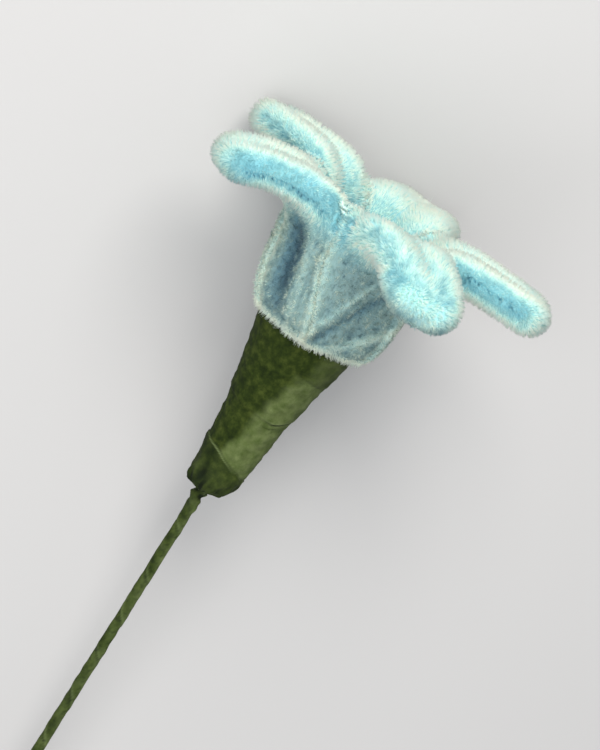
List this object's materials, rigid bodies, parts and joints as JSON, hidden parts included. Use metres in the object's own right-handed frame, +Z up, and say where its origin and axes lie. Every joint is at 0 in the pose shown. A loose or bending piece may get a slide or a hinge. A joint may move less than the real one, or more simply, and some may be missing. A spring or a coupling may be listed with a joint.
{
  "type": "handmade chenille lily",
  "caption": "Trumpet-shaped craft lily of folded chenille stems in a tape-wrapped cone on a taped wire stem, lying on a surface.",
  "frame": {"origin": "middle of the bounding box's bottom, on the surface that the flower lies on", "axes": "+X along the object from the stem's cut end to the open flower, +Z up, away from the surface"},
  "size_m": [0.3022, 0.0998, 0.0919],
  "materials": {
    "chenille_pile": "matte",
    "floral_tape": "matte",
    "wire": "satin"
  },
  "bodies": {
    "root": {"stem_wire": "wire", "stem_tape": "floral_tape", "cone_tape": "floral_tape", "petal_1": "chenille_pile", "petal_1_wire": "wire", "petal_2": "chenille_pile", "petal_2_wire": "wire", "petal_3": "chenille_pile", "petal_3_wire": "wire", "petal_4": "chenille_pile", "petal_4_wire": "wire", "petal_5": "chenille_pile", "petal_5_wire": "wire"}
  },
  "joints": []
}
